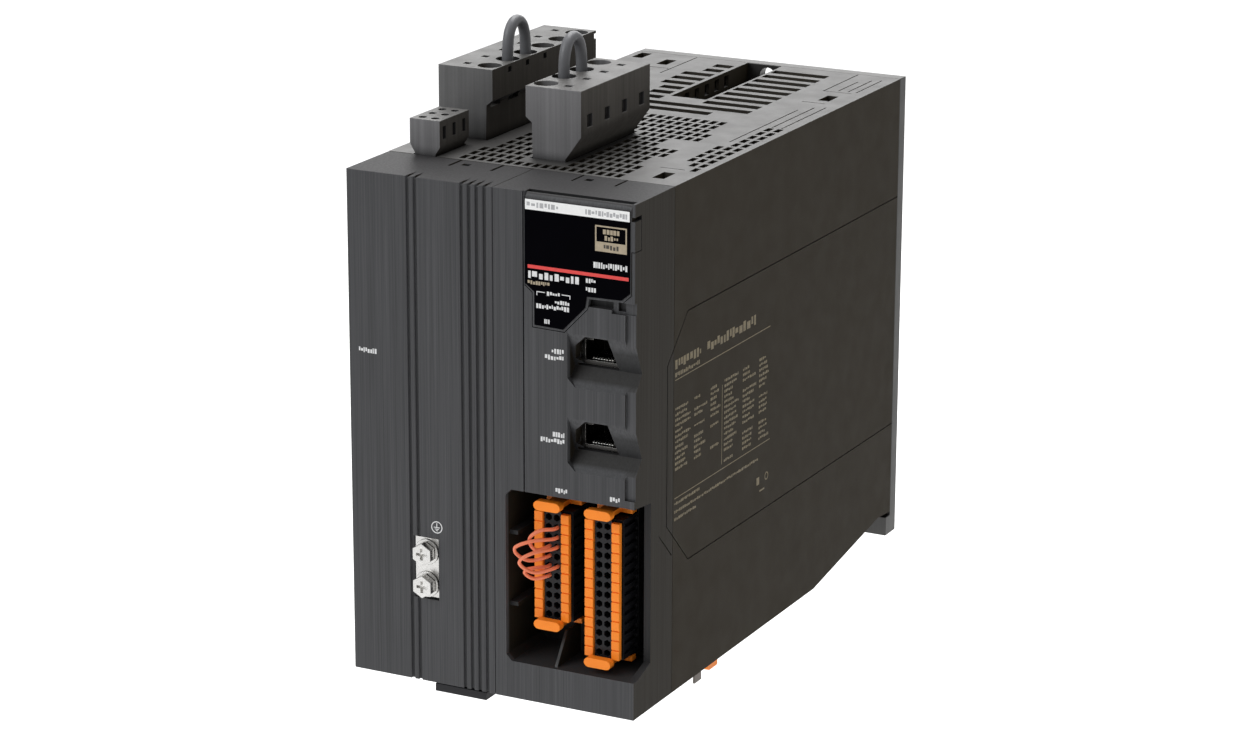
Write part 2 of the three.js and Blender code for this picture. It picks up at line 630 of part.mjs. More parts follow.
function controlFrontCover() {
  const shell = cut(
    block(CONTROL_LEFT, RIGHT, FRONT, COVER_BACK, 0, HEIGHT),
    block(CONTROL_LEFT - 1, INNER_RIGHT, FRONT + WALL, COVER_BACK + 1, WALL, INNER_TOP),
  );
  const doorBacking = block(12.6, INNER_RIGHT + 1, FRONT + 1, DOOR_FLOOR + 1.7, 131, INNER_TOP + 1);
  const recessWalls = block(
    RECESS.left - 2.1, INNER_RIGHT + 1, FRONT + 1, RECESS.back + 1.6, RECESS.bottom - 2, RECESS.top + 2.2);
  const sleeves = Object.values(PORT_ROOTS).map(portSleeve);
  const body = join(shell, doorBacking, recessWalls, ...sleeves);

  const recess = prismY([
    [RECESS.left, RECESS.bottom + 2.2], [RECESS.left + 2.2, RECESS.bottom], [INNER_RIGHT, RECESS.bottom],
    [INNER_RIGHT, RECESS.top], [RECESS.left + 2.2, RECESS.top], [RECESS.left, RECESS.top - 2.2],
  ], FRONT - 1, RECESS.back);
  const sideMouth = prismX([
    [FRONT - 1, RECESS.bottom], [FRONT + 3, RECESS.bottom], [RECESS.sideBack, RECESS.bottom + 3.2],
    [RECESS.sideBack, RECESS.top - 1.3], [FRONT - 1, RECESS.top],
  ], INNER_RIGHT - 1, RIGHT + 1);
  const ports = Object.values(PORT_ROOTS).flatMap((root) => [portNotch(root), jackWindow(root)]);
  const seam = block(13, 13.6, FRONT - 1, FRONT + 1.1, RECESS.top - 1, HEIGHT + 1);
  const edgeStep = block(51.4, RIGHT + 1, FRONT - 1, FRONT + 1, RECESS.top + 2.6, 142.2);
  const { left, right, bottom, top } = DISPLAY_WINDOW;
  const display = block(left, right, FRONT, DOOR_FLOOR + 3, bottom, top);
  const switches = Object.values(SWITCH_HEIGHTS).map((z) =>
    rodY(SWITCH_X, FRONT, DOOR_FLOOR + 3, z, SWITCH.holeRadius, 16));
  const service = block(
    SERVICE.x - SERVICE.width / 2, SERVICE.x + SERVICE.width / 2, FRONT, DOOR_FLOOR + 3,
    SERVICE.z - SERVICE.height / 2, SERVICE.z + SERVICE.height / 2);
  const hollowed = cut(body, recess, sideMouth, ...ports, seam, edgeStep, ...fingerCatch(), ...doorPocket());
  const pierced = cut(hollowed, display, ...switches, service, ...snapTab(20.5), sideLines());
  const ribs = [32.6, 58.4].map((z) =>
    block(RECESS.left - 1, RECESS.left + 3.2, FRONT + 3, RECESS.back + 1, z, z + 1.4));
  const gusset = prismX([
    [FRONT + 1.5, RECESS.bottom - 1], [RECESS.back - 6.8, RECESS.bottom - 1],
    [RECESS.back - 6.8, 24.4], [FRONT + 9, 24.4], [FRONT + 1.5, RECESS.bottom + 0.4],
  ], 24.1, 25.1);
  const pinHole = rodX(HINGE.left - 2, HINGE.right + 1, DOOR_HINGE.y, DOOR_HINGE.z, HINGE.boreRadius, 10);
  return cut(join(pierced, ...ribs, gusset), pinHole);
}

function displayDoor() {
  const { y, z } = DOOR_HINGE;
  const { left, right, boreRadius, barrelRadius } = HINGE;
  const plate = prismY(DOOR_OUTLINE, FRONT, DOOR_BACK);
  const ear = join(
    block(EAR.side - 1, RIGHT, FRONT, DOOR_BACK, EAR.bottom, EAR.top),
    block(EAR.side, RIGHT, FRONT, EAR.back, EAR.bottom, EAR.top),
  );
  const barrel = rodX(left, right, y, z, barrelRadius, 16);
  const bore = rodX(left - 1, right + 1, y, z, boreRadius, 10);
  return cut(join(plate, ear, barrel), bore);
}

// Board with the segment display, standing behind the door.
const DISPLAY_BOARD = { left: 15.2, right: 51.2, bottom: 149, top: 174 };
const DISPLAY_DEPTH = { front: -219.9, back: -217.4 };

function displayModule() {
  const { front, back } = DISPLAY_DEPTH;
  const { left, right, bottom, top } = DISPLAY_BOARD;
  const { left: x0, right: x1, bottom: z0, top: z1 } = DISPLAY_WINDOW;
  const board = block(left, right, front, back, bottom, top);
  const screen = block(x0 + GAP, x1 - GAP, front - 2, front + 1, z0 + GAP, z1 - GAP);
  return join(board, screen);
}

function rotarySwitch(z) {
  const { radius, front, back, slot, slotWidth } = SWITCH;
  const knob = rodY(SWITCH_X, front, back, z, radius, 16);
  const half = slotWidth / 2;
  return cut(knob, block(SWITCH_X - slot, SWITCH_X + slot, front - 1, front + 0.9, z - half, z + half));
}

function servicePort() {
  const { x, z, width, height } = SERVICE;
  const box = (inset, y0, y1) => {
    const halfWidth = width / 2 - inset;
    const halfHeight = height / 2 - inset;
    return block(x - halfWidth, x + halfWidth, y0, y1, z - halfHeight, z + halfHeight);
  };
  const front = FRONT + 3.4;
  return cut(box(GAP, front, front + 9.6), box(GAP + 0.5, front - 1, front + 6.6));
}

// Shielded network jack with its plug cavity, latch keyway and eight contacts.
const JACK_CAVITY = { halfWidth: 5.9, bottom: 1.4, top: 8.4, back: JACK.back - 4 };
const JACK_KEYWAY = { halfWidth: 3, bottom: 8, top: JACK.rise - 1 };
const JACK_CONTACT = { count: 8, pitch: 1.1, width: 0.4, bottom: 1, top: 2.2 };

function networkJack(root) {
  const floor = root + 0.1 + GAP;
  const { halfWidth, rise, face } = JACK;
  const cavityBack = JACK_CAVITY.back;
  const centred = (half, y0, y1, bottom, top) =>
    block(PORT_X - half, PORT_X + half, y0, y1, floor + bottom, floor + top);
  const shell = centred(halfWidth, face, JACK.back - 1, 0, rise);
  const cavity = centred(JACK_CAVITY.halfWidth, face - 1, cavityBack, JACK_CAVITY.bottom, JACK_CAVITY.top);
  const { halfWidth: keyHalf, bottom: keyBottom, top: keyTop } = JACK_KEYWAY;
  const keyway = centred(keyHalf, face - 1, cavityBack - 1, keyBottom, keyTop);
  const contacts = times(JACK_CONTACT.count, (index) => {
    const { pitch, width, count, bottom, top } = JACK_CONTACT;
    const x = PORT_X + (index - (count - 1) / 2) * pitch - width / 2;
    return block(x, x + width, face + 2, cavityBack + 0.5, floor + bottom, floor + top);
  });
  return join(cut(shell, cavity, keyway), ...contacts);
}

add('control_front_cover', controlFrontCover(), caseFront);
add('display_door', displayDoor(), caseFront);
add('door_label_film', prismY(FILM_OUTLINE, FILM.front, FILM.back), doorGloss);
const hingePin = rodX(HINGE.left - 1.7, HINGE.right + 0.7, DOOR_HINGE.y, DOOR_HINGE.z, HINGE.pinRadius, 8);
add('door_hinge_pin', hingePin, brightSteel);
add('display_module', displayModule(), blackPlastic);
add('service_port', servicePort(), brightSteel);
for (const [place, z] of Object.entries(SWITCH_HEIGHTS)) {
  add(`address_switch_${place}`, rotarySwitch(z), orangePlastic);
}
for (const [place, root] of Object.entries(PORT_ROOTS)) {
  add(`network_jack_${place}`, networkJack(root), brightSteel);
}

// ---------------------------------------------------------- signal connectors

const PLUG_HALF = 6.8;
const PLUG_BACK = -206.3;
const SHOULDER = SIGNAL_FACE + 2;
const COLUMNS = [-1.5, 1.6];
const CLAMP_HOLE = { radius: 1.35, depth: 5 };

function rowHeight(row) {
  return SIGNAL_TOP - SIGNAL_PITCH * (row - 0.5);
}

function signalPlug({ x, rows }) {
  const bottom = SIGNAL_TOP - rows * SIGNAL_PITCH;
  const body = block(x - PLUG_HALF, x + PLUG_HALF, SHOULDER, PLUG_BACK, bottom - 0.6, SIGNAL_TOP + 0.6);
  const ridge = block(x - 3.1, x + 3.3, SIGNAL_FACE, SHOULDER + 1, bottom - 0.6, SIGNAL_TOP + 0.6);
  const holes = times(rows, (index) => rowHeight(index + 1)).flatMap((z) =>
    COLUMNS.map((offset) =>
      rodY(x + offset, SIGNAL_FACE - 1, SIGNAL_FACE + CLAMP_HOLE.depth, z, CLAMP_HOLE.radius, 6)));
  const flutes = times(rows, (index) => {
    const z = rowHeight(index + 1);
    return block(x + PLUG_HALF - 0.9, x + PLUG_HALF + 1, SHOULDER + 0.8, PLUG_BACK - 0.8, z - 0.6, z + 0.9);
  });
  return cut(join(body, ridge), ...holes, ...flutes);
}

// One bar of joined push buttons, with a groove between two rows.
function releaseStrip(x0, x1, rows) {
  const bottom = SIGNAL_TOP - rows * SIGNAL_PITCH;
  const bar = block(x0, x1, SIGNAL_FACE - 1, SHOULDER - 1.1, bottom, SIGNAL_TOP);
  const grooves = times(rows - 1, (index) => {
    const z = bottom + (index + 1) * SIGNAL_PITCH;
    return block(x0 - 1, x1 + 1, SIGNAL_FACE - 2, SIGNAL_FACE - 0.4, z - 0.2, z + 0.2);
  });
  return cut(bar, ...grooves);
}

// Rounded finger paddle with an arm that reaches back to the pivot.
function latchLever(x, paddleBottom, armBottom) {
  const height = 3.4;
  const radius = height / 2;
  const middle = paddleBottom + radius;
  const y0 = SIGNAL_FACE - 4.4;
  const y1 = SIGNAL_FACE - 1.3;
  const paddle = join(
    block(x - 5.2 + radius, x + 5 - radius, y0, y1, paddleBottom, paddleBottom + height),
    rodY(x - 5.2 + radius, y0, y1, middle, radius, 12),
    rodY(x + 5 - radius, y0, y1, middle, radius, 12),
  );
  const arm = block(x - 3, x + 3, y1 - 1, -208.6, armBottom, armBottom + 1.8);
  const hook = block(x - 6, x + 7.4, -212, -208.6, armBottom, armBottom + 1.8);
  return join(paddle, arm, hook);
}

function signalHeader({ x, rows }) {
  const bottom = SIGNAL_TOP - rows * SIGNAL_PITCH;
  const front = PLUG_BACK + GAP;
  const back = RECESS.back - GAP;
  const body = block(x - PLUG_HALF, x + PLUG_HALF, front, back, bottom - 2, SIGNAL_TOP + 2);
  const ledges = [bottom - 4.2, SIGNAL_TOP + 2.4].map((z) =>
    block(x - 4, x + 4, front + 1.7, back, z - 0.6, z + 2.4));
  return join(body, ...ledges);
}

for (const [side, plug] of Object.entries(SIGNAL_PLUGS)) {
  const bottom = SIGNAL_TOP - plug.rows * SIGNAL_PITCH;
  add(`${side}_signal_header`, signalHeader(plug), blackPlastic);
  add(`${side}_signal_plug`, signalPlug(plug), blackPlastic);
  add(`${side}_release_strip_outer`, releaseStrip(plug.x - 6.6, plug.x - 3.4, plug.rows), orangePlastic);
  add(`${side}_release_strip_inner`, releaseStrip(plug.x + 3.6, plug.x + 6.6, plug.rows), orangePlastic);
  add(`${side}_latch_upper`, latchLever(plug.x, SIGNAL_TOP + 1.5, SIGNAL_TOP + 1.5), orangePlastic);
  add(`${side}_latch_lower`, latchLever(plug.x, bottom - 2.7, bottom - 2.7), orangePlastic);
}

const JUMPER_RADIUS = 0.7;

// Short insulated jumpers between clamps of the left plug.
const JUMPERS = [
  { from: [1.6, 2], to: [-1.5, 4], reach: 7.5, side: 5 },
  { from: [1.6, 3], to: [-1.5, 5], reach: 10.5, side: 9.5 },
  { from: [1.6, 4], to: [1.6, 6], reach: 12.5, side: 6.5 },
  { from: [-1.5, 6], to: [-1.5, 7], reach: 7, side: 7.5 },
];

function jumper({ from, to, reach, side }) {
  const x = SIGNAL_PLUGS.left.x;
  const inside = SIGNAL_FACE + 4;
  const [start, end] = [from, to].map(([offset, row]) => [x + offset, rowHeight(row)]);
  const bow = x - side;
  return wire([
    [start[0], inside, start[1]],
    [start[0], SIGNAL_FACE - 1.5, start[1]],
    [(start[0] + bow) / 2, SIGNAL_FACE - reach * 0.8, start[1] + 0.3],
    [bow, SIGNAL_FACE - reach, (start[1] + end[1]) / 2 + 1],
    [(end[0] + bow) / 2 - 1, SIGNAL_FACE - reach * 0.6, end[1] - 0.6],
    [end[0], SIGNAL_FACE - 1.5, end[1]],
    [end[0], inside, end[1]],
  ], JUMPER_RADIUS, 8, 20);
}

JUMPERS.forEach((route, index) => add(`jumper_wire_${index + 1}`, jumper(route), jumperRed));

// ------------------------------------------------------------ power connectors

// Cross-section of a power plug, with the wire holes on the side of the neck.
const POWER_SECTION = [
  [-9, POWER_TOP], [-9, 194.1], [-6.6, 192.2], [-6.3, 180], [-6.3, NECK_BOTTOM],
  [6.5, NECK_BOTTOM], [6.5, 180.6], [12.5, 188.9], [12.5, POWER_TOP],
];
const WIRE_HOLE_OFFSET = -4.4;
const DRIVER_SLOT_OFFSET = 4.4;

// A flipped plug is the same plug turned round by half a turn.
function powerPlug(x, front, poles, flipped) {
  const sign = flipped ? -1 : 1;
  const section = POWER_SECTION.map(([u, z]) => [x + sign * u, z]);
  const body = prismY(section, front, front + poles * POWER_PITCH);
  const tools = times(poles, (index) => {
    const y = front + (index + 0.5) * POWER_PITCH;
    const hole = x + sign * WIRE_HOLE_OFFSET;
    const slot = x + sign * DRIVER_SLOT_OFFSET;
    const flank = x + sign * 12.5;
    const neckSide = x - sign * 9;
    return join(
      rodZ(hole, y, POWER_TOP - WIRE_HOLE_DEPTH, POWER_TOP + 1, WIRE_HOLE_RADIUS, 16),
      block(slot - 1.3, slot + 1.3, y - 1.5, y + 1.1, POWER_TOP - 6, POWER_TOP + 1),
      block(flank - 1.6, flank + 1.6, y - 1.9, y + 1.9, 191.6, 196),
      block(neckSide - 1.2, neckSide + 1.2, y + 5, y + 7.4, POWER_TOP - 3, POWER_TOP - 1),
      block(x - 1, x + 1, y - 3.2, y + 3.2, NECK_BOTTOM - 1, NECK_BOTTOM + 9.6),
    );
  });
  return cut(body, ...tools);
}

function powerHeader(x, front, poles) {
  const base = block(x - 8, x + 8, front, front + poles * POWER_PITCH, 152, NECK_BOTTOM - GAP);
  const blades = times(poles, (index) => {
    const y = front + (index + 0.5) * POWER_PITCH;
    return block(x - 0.5, x + 0.5, y - 2.7, y + 2.7, NECK_BOTTOM - 1, NECK_BOTTOM + 9);
  });
  return join(base, ...blades);
}

// Stiff wire that links two neighbouring poles.
function linkWire(x, front, firstPole) {
  const y0 = front + (firstPole + 0.5) * POWER_PITCH;
  const y1 = y0 + POWER_PITCH;
  const middle = (y0 + y1) / 2;
  const bottom = POWER_TOP - WIRE_HOLE_DEPTH + 1;
  return wire([
    [x, y0, bottom], [x, y0, POWER_TOP + 3], [x, y0 + 0.5, POWER_TOP + 7], [x, y0 + 2.6, POWER_TOP + 11.2],
    [x, middle, POWER_TOP + 12.9],
    [x, y1 - 2.6, POWER_TOP + 11.2], [x, y1 - 0.5, POWER_TOP + 7], [x, y1, POWER_TOP + 3], [x, y1, bottom],
  ], LINK_RADIUS, 10, 20);
}

const SUPPLY = { x: -39.9, front: -165.6, poles: 6 };
const BRAKE = { x: 0, front: -182, poles: 4 };

add('supply_plug', powerPlug(SUPPLY.x, SUPPLY.front, SUPPLY.poles, true), plugPlastic);
add('supply_header', powerHeader(SUPPLY.x, SUPPLY.front, SUPPLY.poles), blackPlastic);
add('supply_link_wire', linkWire(SUPPLY.x - WIRE_HOLE_OFFSET, SUPPLY.front, 1), linkGrey);
add('brake_plug', powerPlug(BRAKE.x, BRAKE.front, BRAKE.poles, false), plugPlastic);
add('brake_header', powerHeader(BRAKE.x, BRAKE.front, BRAKE.poles), blackPlastic);
add('brake_link_wire', linkWire(BRAKE.x + WIRE_HOLE_OFFSET, BRAKE.front, 1), linkGrey);

// Small three-pole plug for the control supply.
const CONTROL = { x: -41, front: -195.2, pitch: 6.8, top: 192.3, neckBottom: 174 };

function controlPlug() {
  const { x, front, pitch, top, neckBottom } = CONTROL;
  const section = [
    [x - 6, top], [x - 6, 183.5], [x - 4, 180.3], [x - 4, neckBottom],
    [x + 4, neckBottom], [x + 4, 180.3], [x + 5.8, 183], [x + 5.8, top],
  ];
  const body = prismY(section, front, front + 3 * pitch);
  const tools = times(3, (index) => {
    const y = front + (index + 0.5) * pitch;
    return join(
      rodZ(x - 2.8, y, top - 7, top + 1, 1.5, 8),
      rodZ(x + 2.2, y, top - 7, top + 1, 1.5, 8),
      block(x + 4.6, x + 7, y - 1.2, y + 1, 185.5, 190),
      block(x - 0.9, x + 0.9, y - 1.7, y + 1.7, neckBottom - 1, neckBottom + 6.6),
    );
  });
  return cut(body, ...tools);
}

function controlHeader() {
  const { x, front, pitch, neckBottom } = CONTROL;
  const base = block(x - 5, x + 5, front, front + 3 * pitch, 160, neckBottom - GAP);
  const pins = times(3, (index) => {
    const y = front + (index + 0.5) * pitch;
    return block(x - 0.5, x + 0.5, y - 1.2, y + 1.2, neckBottom - 1, neckBottom + 6);
  });
  return join(base, ...pins);
}

add('control_supply_plug', controlPlug(), plugPlastic);
add('control_supply_header', controlHeader(), blackPlastic);

// --------------------------------------------------- motor plug on the underside

const MOTOR_PLUG = { left: 36, right: 50.4, front: -167, back: -146, bottom: -0.8, top: 16 };
const MOTOR_HOLE = { x: 41, first: -163, pitch: 6.2, radius: 2.2, depth: 8.8 };

// Release lever, a short bar between its pivot and a round nose.
const LEVER = { left: 45.8, right: 51.6, nose: -158.4, pivot: -152, z: -3.15, radius: 1.85 };

function motorPlug() {
  const { left, right, front, back, bottom, top } = MOTOR_PLUG;
  const { x, first, pitch, radius, depth } = MOTOR_HOLE;
  const holes = times(3, (index) => rodZ(x, first + index * pitch, bottom - 1, bottom + depth, radius, 10));
  return cut(block(left, right, front, back, bottom, top), ...holes);
}

function motorLatch() {
  const { left, right, nose, pivot, z, radius } = LEVER;
  return join(
    block(left, right, nose, pivot, z - radius, z + radius),
    rodX(left, right, nose, z, radius, 12),
    rodX(left + 0.8, right - 0.8, pivot, z, radius, 12),
  );
}

// Bent strip of sheet metal whose long leg clamps the cable's shield.
const CLIP = { left: 43.6, right: 45, front: -158, back: -150, bottom: -12 };

function shieldClip() {
  const { left, right, front, back, bottom } = CLIP;
  const foot = MOTOR_PLUG.bottom - GAP;
  return join(
    block(left, right, front, back, foot - 2.3, foot),
    block(left + 0.6, right, front + 1, back - 1.5, bottom, foot - 1),
  );
}

add('motor_plug', motorPlug(), blackPlastic);
add('motor_plug_latch', motorLatch(), orangePlastic);
add('shield_clip', shieldClip(), brightSteel);

// --------------------------------------------------------------- electronics

const BOARD_THICKNESS = 1.6;
const CAPACITOR = { count: 3, left: -50, front: -168, pitch: 37, z: 50, radius: 16 };
const CONTROL_BOARD_FRONT = -195.9;
const POWER_BOARD_LEFT = -18;
const BOARD_TOP = 146;

function controlBoard() {
  return block(5, 51, CONTROL_BOARD_FRONT, CONTROL_BOARD_FRONT + BOARD_THICKNESS, 12, BOARD_TOP);
}

function powerBoard() {
  return block(POWER_BOARD_LEFT, POWER_BOARD_LEFT + BOARD_THICKNESS, -190, -77, 20, BOARD_TOP);
}

add('control_board', controlBoard(), boardGreen);
add('power_board', powerBoard(), boardGreen);
for (let index = 0; index < CAPACITOR.count; index += 1) {
  const { left, front, pitch, z, radius } = CAPACITOR;
  const can = rodX(left, POWER_BOARD_LEFT - GAP, front + index * pitch, z, radius, 20);
  add(`bus_capacitor_${index + 1}`, can, sleeveBlack);
}

export default drive;
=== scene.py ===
"""Looks of a panel-mounted servo drive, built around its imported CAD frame.

Metres, +Z up. The front faces -Y, and +X is to the right of someone facing it.
Sizes that are written out are in millimetres. Heights of printed marks are
measured from the case's underside, as in the CAD model.
"""
import json
import math
import random

import bmesh
import bpy
from mathutils import Matrix, Vector


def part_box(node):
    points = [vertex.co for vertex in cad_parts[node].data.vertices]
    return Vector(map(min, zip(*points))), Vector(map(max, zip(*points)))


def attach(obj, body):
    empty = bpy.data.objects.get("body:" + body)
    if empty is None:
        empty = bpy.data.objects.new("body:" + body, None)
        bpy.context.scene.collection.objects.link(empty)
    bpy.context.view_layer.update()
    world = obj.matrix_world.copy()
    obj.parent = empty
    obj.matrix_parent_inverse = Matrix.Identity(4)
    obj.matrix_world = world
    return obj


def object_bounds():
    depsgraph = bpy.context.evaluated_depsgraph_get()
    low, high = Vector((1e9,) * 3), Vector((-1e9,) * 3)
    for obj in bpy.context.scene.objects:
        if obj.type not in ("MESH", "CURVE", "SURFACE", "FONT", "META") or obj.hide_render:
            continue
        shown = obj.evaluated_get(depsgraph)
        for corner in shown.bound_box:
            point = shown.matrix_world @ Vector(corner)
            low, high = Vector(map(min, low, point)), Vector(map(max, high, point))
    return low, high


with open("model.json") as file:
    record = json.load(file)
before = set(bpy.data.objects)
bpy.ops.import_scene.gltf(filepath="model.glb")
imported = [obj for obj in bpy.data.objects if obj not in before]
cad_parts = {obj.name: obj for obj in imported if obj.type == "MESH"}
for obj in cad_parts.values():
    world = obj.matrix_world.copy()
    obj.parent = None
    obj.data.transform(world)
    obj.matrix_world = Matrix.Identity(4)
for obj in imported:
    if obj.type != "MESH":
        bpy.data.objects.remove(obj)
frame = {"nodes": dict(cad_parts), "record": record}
CAD_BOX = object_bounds()

MM = 0.001
COVER_LOW, COVER_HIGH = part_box("power_front_cover")
UNDERSIDE = COVER_LOW.z
FRONT = COVER_LOW.y
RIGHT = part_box("main_housing")[1].x
FILM_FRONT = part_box("door_label_film")[0].y


# ------------------------------------------------------------ node trees

NOISE_ROUGHNESS = 0.55
# How far a normal leans along an axis where its face starts to count, and counts in full.
FACING_START, FACING_FULL = 0.6, 0.85
# Agreement of the rounded and the plain normal that counts as an edge, and as a flat face.
EDGE_MATCH, FLAT_MATCH = 0.8, 0.99


class Shader:
    """A material's node tree, with short calls for the nodes that are used here."""

    def __init__(self, name):
        self.material = bpy.data.materials.new(name)
        self.material.use_nodes = True
        self.tree = self.material.node_tree
        self.surface = self.tree.nodes["Principled BSDF"]
        coordinates = self.node("ShaderNodeTexCoord")
        self.place = coordinates.outputs["Object"]
        self.facing = self.node("ShaderNodeSeparateXYZ")
        self.link(coordinates.outputs["Normal"], self.facing.inputs["Vector"])
        self.distance = self.node("ShaderNodeSeparateXYZ")
        self.link(self.place, self.distance.inputs["Vector"])

    def node(self, kind, **settings):
        made = self.tree.nodes.new(kind)
        for key, value in settings.items():
            setattr(made, key, value)
        return made

    def link(self, source, target):
        self.tree.links.new(source, target)

    def put(self, target, value):
        """Sets an input to a value, or links it to another node's output."""
        if isinstance(value, bpy.types.NodeSocket):
            self.link(value, target)
        else:
            target.default_value = value

    def noise(self, size, detail=3.0, stretch=(1, 1, 1)):
        """Noise from 0 to 1 whose features are about size millimetres wide."""
        mapping = self.node("ShaderNodeMapping")
        mapping.inputs["Scale"].default_value = [s / (size * MM) for s in stretch]
        self.link(self.place, mapping.inputs["Vector"])
        noise = self.node("ShaderNodeTexNoise")
        noise.inputs["Scale"].default_value = 1.0
        noise.inputs["Detail"].default_value = detail
        noise.inputs["Roughness"].default_value = NOISE_ROUGHNESS
        self.link(mapping.outputs["Vector"], noise.inputs["Vector"])
        return noise.outputs["Fac"]

    def spread(self, source, low, high, start=0.3, end=0.7):
        """Maps a source from start..end to low..high, clamped."""
        ramp = self.node("ShaderNodeMapRange")
        for key, value in (("From Min", start), ("From Max", end), ("To Min", low), ("To Max", high)):
            ramp.inputs[key].default_value = value
        self.link(source, ramp.inputs["Value"])
        return ramp.outputs["Result"]

    def maths(self, operation, first, second):
        made = self.node("ShaderNodeMath", operation=operation)
        self.put(made.inputs[0], first)
        self.put(made.inputs[1], second)
        return made.outputs["Value"]

    def scaled(self, colour, factor):
        """A colour, or a colour output, times a number output."""
        made = self.node("ShaderNodeVectorMath", operation="SCALE")
        self.put(made.inputs[0], colour)
        self.put(made.inputs["Scale"], factor)
        return made.outputs["Vector"]

    def mixed(self, factor, first, second):
        made = self.node("ShaderNodeMix", data_type="RGBA")
        self.put(made.inputs["Factor"], factor)
        self.put(made.inputs[6], first)
        self.put(made.inputs[7], second)
        return made.outputs[2]

    def absolute(self, source):
        made = self.node("ShaderNodeMath", operation="ABSOLUTE")
        self.link(source, made.inputs[0])
        return made.outputs["Value"]

    def faces(self, axis):
        """1 on surfaces that face either way along X, Y or Z, and 0 on the others."""
        return self.spread(self.absolute(self.facing.outputs[axis]), 0.0, 1.0, FACING_START, FACING_FULL)

    def edge(self, radius=0.35):
        """1 at outer and inner edges, falling to 0 on flat faces."""
        rounded = self.node("ShaderNodeBevel", samples=6)
        rounded.inputs["Radius"].default_value = radius * MM
        geometry = self.node("ShaderNodeNewGeometry")
        dot = self.node("ShaderNodeVectorMath", operation="DOT_PRODUCT")
        self.link(rounded.outputs["Normal"], dot.inputs[0])
        self.link(geometry.outputs["Normal"], dot.inputs[1])
        return self.spread(dot.outputs["Value"], 1.0, 0.0, EDGE_MATCH, FLAT_MATCH)

    def bump(self, height, distance):
        made = self.node("ShaderNodeBump")
        made.inputs["Strength"].default_value = 1.0
        made.inputs["Distance"].default_value = distance * MM
        self.link(height, made.inputs["Height"])
        return made.outputs["Normal"]

    def finish(self, colour, roughness, normal, **others):
        self.put(self.surface.inputs["Base Color"], colour)
        self.put(self.surface.inputs["Roughness"], roughness)
        self.put(self.surface.inputs["Normal"], normal)
        for key, value in others.items():
            self.put(self.surface.inputs[key.replace("_", " ")], value)
        return self.material


# How near another surface has to be for the painted shade in a hole of moulded plastic.
CAVITY_REACH = 4 * MM
# Depth of moulded grain, in millimetres.
GRAIN_DEPTH = 0.03
# Between these depths behind the front, a groove's wall loses its painted highlight and takes on the
# plain side colour.
GROOVE_DEPTHS = (FRONT + 1.5 * MM, FRONT + 2.5 * MM)
# Between these depths, faces that look forward turn to their painted sunk shade.
SUNK_DEPTHS = (FRONT + 1.4 * MM, FRONT + 2.6 * MM)
SUNK_SHADE = 0.28
# Between these distances from the middle, groove walls give way to the case's outer sides.
OUTER_SIDES = (RIGHT - 5 * MM, RIGHT - 2 * MM)


def rgba(red, green, blue):
    return (red, green, blue, 1.0)


def moulded_plastic(name, colour, roughness, mottle=0.05, grain=0.5, edge_highlight=0.35, sheen=0.5,
                    flank=0.5, streaks=0.0, cavity=0.0, side=None, top=None):
    """Moulded plastic: fine spark-eroded grain, faint clouds, and a painted highlight on edges.

    sheen is the specular level, and flank is its level on the sides. edge_highlight
    is the strength of the painted highlight on edges. streaks is the strength of
    upright mould marks, and cavity that of the painted shade in holes. side and
    top are the colours of the faces that face X and Z, where those differ from the
    front's; how much darker or lighter they are is painted shade and light.
    """
    shader = Shader(name)
    if side:
        colour = shader.mixed(shader.faces("X"), rgba(*colour), rgba(*side))
    if top:
        colour = shader.mixed(shader.faces("Z"), colour, rgba(*top))
    clouds = shader.spread(shader.noise(22, detail=4), 1 - mottle, 1 + mottle)
    specks = shader.spread(shader.noise(grain * 0.8, detail=2), 1 - mottle * 0.7, 1 + mottle * 0.7)
    # Painted highlight: edges are drawn brighter than the flat faces.
    painted_edge_highlight = shader.spread(shader.edge(), 1.0, 1.0 + edge_highlight, 0.0, 1.0)
    shade = shader.maths("MULTIPLY", shader.maths("MULTIPLY", clouds, specks), painted_edge_highlight)
    if streaks:
        drawn = shader.noise(1.3, detail=3, stretch=(1, 1, 0.02))
        shade = shader.maths("MULTIPLY", shade, shader.spread(drawn, 1 - streaks, 1 + streaks))
    # Painted shade: holes and crevices are darkened where other surfaces are near.
    if cavity:
        openness = shader.node("ShaderNodeAmbientOcclusion", samples=8)
        openness.inputs["Distance"].default_value = CAVITY_REACH
        painted_hole_shade = shader.spread(openness.outputs["AO"], 1 - cavity, 1.0, 0.45, 0.95)
        shade = shader.maths("MULTIPLY", shade, painted_hole_shade)
    smears = shader.noise(9, detail=5)
    rough = shader.spread(smears, roughness - 0.05, roughness + 0.05)
    normal = shader.bump(shader.noise(grain, detail=4), GRAIN_DEPTH)
    level = shader.spread(shader.faces("X"), sheen, flank, 0.0, 1.0)
    return shader.finish(shader.scaled(colour, shade), rough, normal, Specular_IOR_Level=level)


